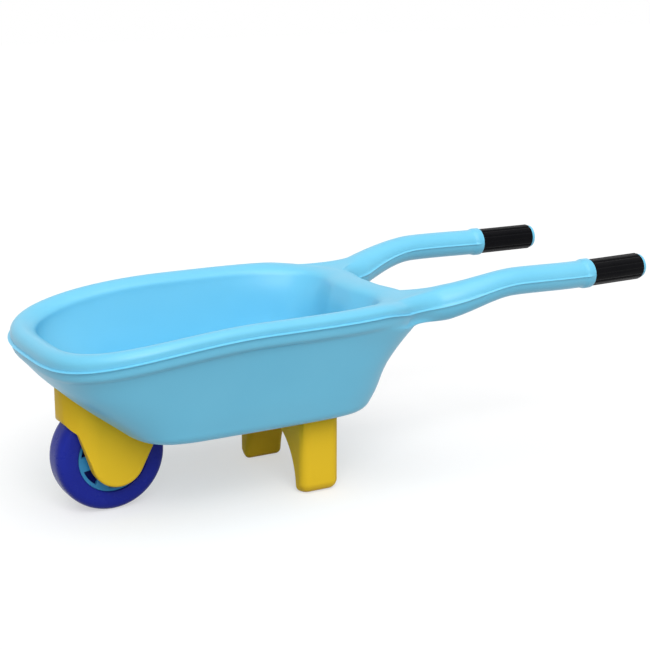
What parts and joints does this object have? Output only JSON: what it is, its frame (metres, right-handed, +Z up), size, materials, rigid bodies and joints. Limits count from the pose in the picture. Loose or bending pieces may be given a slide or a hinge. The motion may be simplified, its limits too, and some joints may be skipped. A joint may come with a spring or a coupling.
{
  "type": "wheelbarrow",
  "caption": "Moulded plastic wheelbarrow for a child: rolled-rim tub with arms, ribbed grips, spoked front wheel in a fork, arched rear stand.",
  "frame": {"origin": "middle of the length and width, on the ground", "axes": "+X from the nose to the grips, +Y to the right of someone holding the grips, +Z up"},
  "size_m": [0.7923, 0.325, 0.2586],
  "materials": {
    "blue_plastic": "smooth blow-moulded plastic, semi-gloss",
    "grip": "soft ribbed vinyl",
    "yellow_plastic": "smooth moulded plastic, semi-gloss",
    "wheel_plastic": "smooth moulded plastic",
    "hub_plastic": "smooth moulded plastic",
    "steel": "zinc-plated steel"
  },
  "bodies": {
    "barrow": {"tub": "blue_plastic", "left_grip": "grip", "right_grip": "grip", "fork": "yellow_plastic", "stand": "yellow_plastic", "axle": "steel", "fork_screws": "steel", "stand_screws": "steel"},
    "wheel": {"tyre": "wheel_plastic", "left_hub_disc": "hub_plastic", "right_hub_disc": "hub_plastic"}
  },
  "joints": [
    {"name": "wheel_spin", "type": "hinge", "parent": "barrow", "child": "wheel", "pos_m": [-0.3025, 0, 0.067], "axis": [0, 1, 0], "continuous": true}
  ]
}
